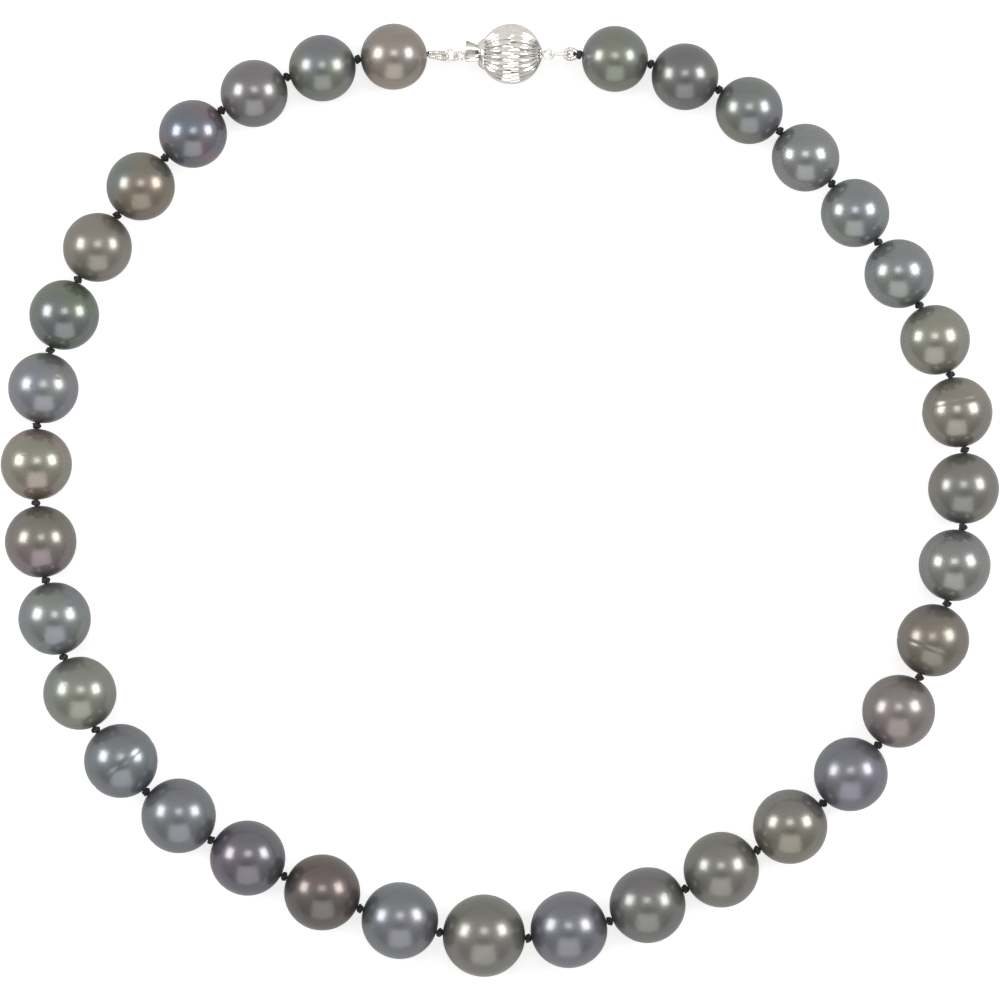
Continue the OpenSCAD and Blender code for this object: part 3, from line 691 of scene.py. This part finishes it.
# %% Tie the end knot
END_KNOT_SHARE = 0.95
end_lay = loop_frame("gimp_loop_right", pearl_spots[-1][0])[0]
end_spot, end_radius = pearl_spots[-1]
outward = (end_lay.translation - end_spot).normalized()
end_knot_spot = end_spot + outward * (end_radius + half_gap * END_KNOT_SHARE)
end_laid = knot_path(35, KNOT_WIDTH, 2 * half_gap, THREAD, half_gap + INTO_LOOP)
end_knot = grow(silk_tree, "silk_end_knot", end_laid, thread=THREAD, lobes=0.14, half_turns=8,
                finish=black_silk)
end_knot.data.transform(frame_at(end_knot_spot, outward))
close_up(end_knot)
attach(end_knot, body_with["pearl_35"])
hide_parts("silk_thread")
print(end_knot.name, [round(v / MM, 2) for v in end_knot_spot])

# %% [markdown]
# ## The fluted ball
# The clasp's body is a hollow ball pressed from sheet, with ribs that swell at its waist and narrow to
# points at both ends. Between two ribs is a crease. The ribs follow a rule, so a tree can roll them
# from a grid: each ring of the grid is a circle whose radius dips at every crease, more so near the ends.
# The last rows come back inside the shell, which makes each half a closed wall.

# %% Ball tree
RIBS, RIB_STEPS, ROWS = 24, 14, 61
OUTSIDE, CLOSING_ROW = 0.7, 0.995
ball_tree, size = start_tree("fluted_half_ball", {
    "Radius": 4.9 * MM, "Seat": 4.0 * MM, "Wall": 0.3 * MM, "Ribs": RIBS, "Flute": 0.26 * MM,
    "End Flute": 0.22 * MM, "Seam": 0.01 * MM})
sheet = add(ball_tree, "GeometryNodeMeshGrid", {"Vertices X": RIBS * RIB_STEPS + 1, "Vertices Y": ROWS})
flat = split(ball_tree, add(ball_tree, "GeometryNodeInputPosition"))
angle = calc(ball_tree, "MULTIPLY", flat[0], 2 * math.pi)
along = calc(ball_tree, "ADD", flat[1], 0.5)
seat_angle = calc(ball_tree, "ARCSINE", calc(ball_tree, "DIVIDE", size["Seat"], size["Radius"]))
out_way = add(ball_tree, "ShaderNodeMapRange", {"Value": along, "From Max": OUTSIDE, "To Max": seat_angle})
x_out = calc(ball_tree, "MULTIPLY", size["Radius"], calc(ball_tree, "SINE", out_way))
r_out = calc(ball_tree, "MULTIPLY", size["Radius"], calc(ball_tree, "COSINE", out_way))
x_share = calc(ball_tree, "DIVIDE", x_out, size["Radius"])
depth = calc(ball_tree, "ADD", size["Flute"],
             calc(ball_tree, "MULTIPLY", size["End Flute"], calc(ball_tree, "MULTIPLY", x_share, x_share)))
rib = calc(ball_tree, "ABSOLUTE", calc(ball_tree, "COSINE", calc(
    ball_tree, "MULTIPLY", angle, calc(ball_tree, "DIVIDE", size["Ribs"], 2.0))))
dip = calc(ball_tree, "MULTIPLY", depth, calc(ball_tree, "SUBTRACT", 1.0, rib))
seam = calc(ball_tree, "MULTIPLY", size["Seam"], bell(ball_tree, x_out, 0.05 * MM))
skin_r = calc(ball_tree, "SUBTRACT", calc(ball_tree, "SUBTRACT", r_out, dip), seam)
inner = calc(ball_tree, "SUBTRACT", calc(ball_tree, "SUBTRACT", calc(
    ball_tree, "SUBTRACT", size["Radius"], size["Flute"]), size["End Flute"]), size["Wall"])
in_way = add(ball_tree, "ShaderNodeMapRange", {
    "Value": along, "From Min": OUTSIDE + 0.02, "From Max": 0.98, "To Min": seat_angle, "To Max": 0.0})
x_in = calc(ball_tree, "MULTIPLY", inner, calc(ball_tree, "SINE", in_way))
r_in = calc(ball_tree, "MULTIPLY", inner, calc(ball_tree, "COSINE", in_way))
is_in = calc(ball_tree, "MULTIPLY", calc(ball_tree, "GREATER_THAN", along, OUTSIDE + 0.01),
             calc(ball_tree, "LESS_THAN", along, CLOSING_ROW))


def pick(outside, inside):
    return calc(ball_tree, "ADD", outside, calc(ball_tree, "MULTIPLY", is_in, calc(
        ball_tree, "SUBTRACT", inside, outside)))


closing = calc(ball_tree, "GREATER_THAN", along, CLOSING_ROW)
waist_r = calc(ball_tree, "SUBTRACT", calc(ball_tree, "SUBTRACT", size["Radius"], calc(
    ball_tree, "MULTIPLY", size["Flute"], calc(ball_tree, "SUBTRACT", 1.0, rib))), size["Seam"])
open_share = calc(ball_tree, "SUBTRACT", 1.0, closing)
final_x = calc(ball_tree, "MULTIPLY", pick(x_out, x_in), open_share)
final_r = calc(ball_tree, "ADD", calc(ball_tree, "MULTIPLY", pick(skin_r, r_in), open_share),
               calc(ball_tree, "MULTIPLY", waist_r, closing))
rolled = add(ball_tree, "ShaderNodeCombineXYZ", {
    0: final_x, 1: calc(ball_tree, "MULTIPLY", final_r, calc(ball_tree, "COSINE", angle)),
    2: calc(ball_tree, "MULTIPLY", final_r, calc(ball_tree, "SINE", angle))})
shell = add(ball_tree, "GeometryNodeSetPosition", {"Geometry": sheet, "Position": rolled})
closed = add(ball_tree, "GeometryNodeMergeByDistance", {"Geometry": shell, "Distance": 0.001 * MM})
end_tree(ball_tree, size, closed)
print("ball tree:", len(ball_tree.nodes), "nodes")

# %% [markdown]
# The real ball is two pressed shells soldered at the waist, and the same tree makes both. Each takes its
# size from its own box in the frame, faces away from the seam, and is rolled a quarter of a rib.

# %% Press both halves of the ball
clasp_body = body_with["ball_half_left"]
for side, way in (("left", -1), ("right", 1)):
    node = f"ball_half_{side}"
    low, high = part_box(node)
    seam_x = high.x if way < 0 else low.x
    clasp_spot = Vector((seam_x, (low.y + high.y) / 2, (low.z + high.z) / 2))
    half = grow(ball_tree, f"fluted_half_{side}", radius=(high.z - low.z) / 2,
                seat=high.x - low.x, finish=fluted_gold)
    half.data.transform(frame_at(clasp_spot, (way, 0, 0), roll=math.radians(90 / RIBS)))
    gaps = close_up(half)
    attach(half, clasp_body)
    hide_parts(node)
    print(half.name, len(half.data.polygons), "faces,", gaps, "open edges")

# %% [markdown]
# ## Rings, tongue and caps
# The small metal parts already have their right shape in the frame. A copy of each is merged, its
# flat faces are joined, its sharp edges get a fine rounding that catches the light, and curved faces are
# shaded smooth. The number by each part is that rounding in millimetres, and round stock has none. The
# frame's own meshes stay as they are.

# %% Smooth a copy of a metal part
FLAT_ANGLE, EDGE_ANGLE, CREASE_ANGLE = (math.radians(a) for a in (0.6, 35, 50))


def refined(node, name, edge):
    mesh = frame["nodes"][node].data.copy()
    work = bmesh.new()
    work.from_mesh(mesh)
    bmesh.ops.remove_doubles(work, verts=work.verts, dist=0.0005 * MM)
    bmesh.ops.dissolve_limit(work, angle_limit=FLAT_ANGLE, verts=work.verts, edges=work.edges)
    bmesh.ops.recalc_face_normals(work, faces=work.faces)
    sharp = [e for e in work.edges if e.is_manifold and e.calc_face_angle(0) > EDGE_ANGLE]
    if edge and sharp:
        bmesh.ops.bevel(work, geom=sharp, offset=edge, segments=2, affect="EDGES", clamp_overlap=True)
    for face in work.faces:
        face.smooth = True
    work.to_mesh(mesh)
    work.free()
    mesh.set_sharp_from_angle(angle=CREASE_ANGLE)
    mesh.materials.clear()
    mesh.materials.append(plain_gold)
    piece = bpy.data.objects.new(name, mesh)
    bpy.context.scene.collection.objects.link(piece)
    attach(piece, body_with[node])
    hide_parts(node)
    return piece


METAL_PARTS = {
    "tongue_plate": 0.04, "tongue_leaf": 0.03, "thumb_tab": 0.02, "slot_plate": 0.03, "end_cap": 0.0,
    "tongue_eye": 0.0, "end_ring": 0.0, "link_ring": 0.0, "jump_ring": 0.0}
metal = [refined(node, f"polished_{node}", edge * MM) for node, edge in METAL_PARTS.items()]
print(len(metal), "metal parts refined")

# %% [markdown]
# ## Table, light and camera
# The necklace lies on pale paper. The camera sees it almost white, because it glows for camera rays
# only. Pearls and metal see a darker paper, which keeps their lower rims from washing out.

# %% Table
table_mesh = bpy.data.meshes.new("table_top")
reach = 1.5
corners = [(-reach, -reach, 0), (reach, -reach, 0), (reach, reach, 0), (-reach, reach, 0)]
table_mesh.from_pydata(corners, [], [(0, 1, 2, 3)])
table = bpy.data.objects.new("table_top", table_mesh)
bpy.context.scene.collection.objects.link(table)
paper = bpy.data.materials.new("pale_paper")
paper.use_nodes = True
tree = paper.node_tree
shader = tree.nodes["Principled BSDF"]
place = add(tree, "ShaderNodeTexCoord", out=3)
fleck = add(tree, "ShaderNodeMapRange", {
    "Value": noise(tree, place, 40.0, 3.0), "To Min": 0.52, "To Max": 0.55})
grey = add(tree, "ShaderNodeCombineColor", {0: fleck, 1: fleck, 2: fleck})
tree.links.new(grey, shader.inputs["Base Color"])
shader.inputs["Roughness"].default_value = 0.9
shader.inputs["Emission Color"].default_value = (1, 1, 1, 1)
seen = add(tree, "ShaderNodeLightPath")
tree.links.new(calc(tree, "MULTIPLY", seen, 0.62), shader.inputs["Emission Strength"])
table_mesh.materials.append(paper)
print(table.name, 2 * reach, "m wide")

# %% [markdown]
# Pearls and polished metal show the whole room, so the light starts with the room. Its bands run from the
# horizon to the ceiling and are nearly even. The near side is dimmer, and a soft dark hood sits round the
# camera, as a black card cut out for the lens would.

# %% Room
HOOD_WAY, HOOD_SHAPE, HOOD_WIDTH, HOOD_DEPTH = (0.0, -0.27, 0.96), (0.62, 1.0, 1.0), 0.24, 0.85
room = bpy.data.worlds.new("studio_room")
bpy.context.scene.world = room
room.use_nodes = True
tree = room.node_tree
sky = tree.nodes["Background"]
look = add(tree, "ShaderNodeTexCoord")
way = split(tree, look)
ramp = tree.nodes.new("ShaderNodeValToRGB")
tree.links.new(way[2], ramp.inputs[0])
bands = [(0.0, 0.80), (0.30, 0.70), (0.75, 0.80), (0.95, 0.78)]
while len(ramp.color_ramp.elements) < len(bands):
    ramp.color_ramp.elements.new(0.5)
for element, (height, light) in zip(ramp.color_ramp.elements, bands):
    element.position = height
    element.color = (light, light * 0.99, light * 0.97, 1)
near = add(tree, "ShaderNodeMapRange", {
    "Value": way[1], "From Min": -0.9, "From Max": 0.1, "To Min": 0.4})
hood = vector_calc(tree, "MULTIPLY", vector_calc(tree, "SUBTRACT", look, HOOD_WAY), HOOD_SHAPE)
hood_gap = add(tree, "ShaderNodeVectorMath", {0: hood}, out=1, operation="LENGTH")
shade = calc(tree, "SUBTRACT", 1.0, calc(tree, "MULTIPLY", bell(tree, hood_gap, HOOD_WIDTH), HOOD_DEPTH))
tree.links.new(scaled(tree, ramp.outputs[0], calc(tree, "MULTIPLY", near, shade)), sky.inputs["Color"])
sky.inputs["Strength"].default_value = 1.0
print("room with", len(bands), "bands of light")

# %% [markdown]
# Two soft boxes to the left and right make the pair of highlights on every pearl, a dimmer one above adds
# a third, and a broad white card on the near side gives the pale square below them. Each is placed by its
# bearing and elevation in degrees and its distance, then aimed at the middle of the strand.

# %% Soft boxes
def soft_box(name, bearing, elevation, away, width, height, radiance):
    data = bpy.data.lights.new(name, "AREA")
    data.shape, data.size, data.size_y = "RECTANGLE", width, height
    data.energy = radiance * math.pi * width * height
    lamp = bpy.data.objects.new(name, data)
    a, e = math.radians(bearing), math.radians(elevation)
    lamp.location = away * Vector((math.sin(a) * math.cos(e), math.cos(a) * math.cos(e), math.sin(e)))
    lamp.rotation_euler = (-lamp.location).to_track_quat("-Z", "Y").to_euler()
    bpy.context.scene.collection.objects.link(lamp)


soft_box("left_box", -76, 31, 1.1, 0.50, 0.46, 7.5)
soft_box("right_box", 74, 35, 1.1, 0.50, 0.46, 8.5)
soft_box("top_box", 0, 77, 1.1, 0.36, 0.30, 4.2)
soft_box("near_card", 180, 34, 1.0, 1.05, 1.15, 1.15)
print("four lights")

# %% [markdown]
# The camera hangs straight above, far enough away that the pearls at the edge show hardly any side. Its
# lens is worked out so that the strand, at half a pearl's height, just fills the width.

# %% Camera
view_height, view_width, pearl_middle = 1.3, 160.6 * MM, 6 * MM
camera_data = bpy.data.cameras.new("above")
camera_data.lens = camera_data.sensor_width * (view_height - pearl_middle) / view_width
camera_data.clip_end = 20
camera = bpy.data.objects.new("above", camera_data)
camera.location = (0, 0, view_height)
bpy.context.scene.collection.objects.link(camera)
bpy.context.scene.camera = camera
bpy.context.scene.view_settings.view_transform = "Standard"
print("lens", round(camera_data.lens), "mm")
